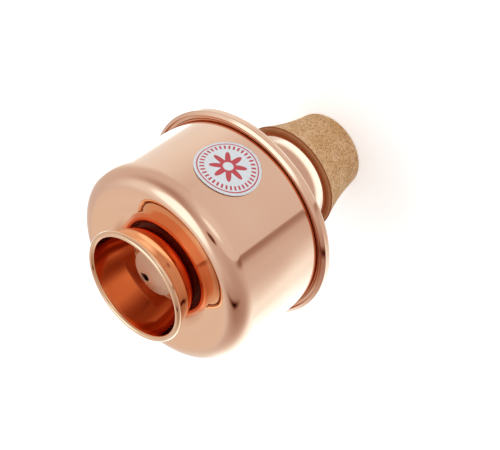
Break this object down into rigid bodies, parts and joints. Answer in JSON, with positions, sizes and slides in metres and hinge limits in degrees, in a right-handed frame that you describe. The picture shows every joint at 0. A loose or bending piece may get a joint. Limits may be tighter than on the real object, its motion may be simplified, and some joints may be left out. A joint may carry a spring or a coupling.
{
  "type": "wah-wah mute",
  "caption": "Turned copper mute for a trumpet bell: flared resonator with a crimped rim, tapered cork seat, and a tube that slides through the dished front and ends in a small cup.",
  "frame": {"origin": "on the turning axis, at the cork's small end, which the mute stands on", "axes": "+Z along the turning axis, from the cork to the cup's mouth; the label is on the -Y side"},
  "size_m": [0.089, 0.089, 0.1144],
  "materials": {
    "polished_copper": "spun copper, mirror polished",
    "cup_copper": "spun copper, polished",
    "satin_copper": "drawn copper, satin",
    "cork": "agglomerated cork, sanded",
    "label_foil": "silvered paper, printed"
  },
  "bodies": {
    "resonator": {"front_shell": "polished_copper", "rear_shell": "polished_copper", "cork_seat": "cork", "stem_sleeve": "satin_copper", "label": "label_foil"},
    "stem": {"stem_tube": "satin_copper", "stem_cup": "cup_copper", "stem_disc": "satin_copper"}
  },
  "joints": [
    {"name": "stem_slide", "type": "slide", "parent": "resonator", "child": "stem", "axis": [0, 0, 1], "range_m": [0, 0.05]}
  ]
}
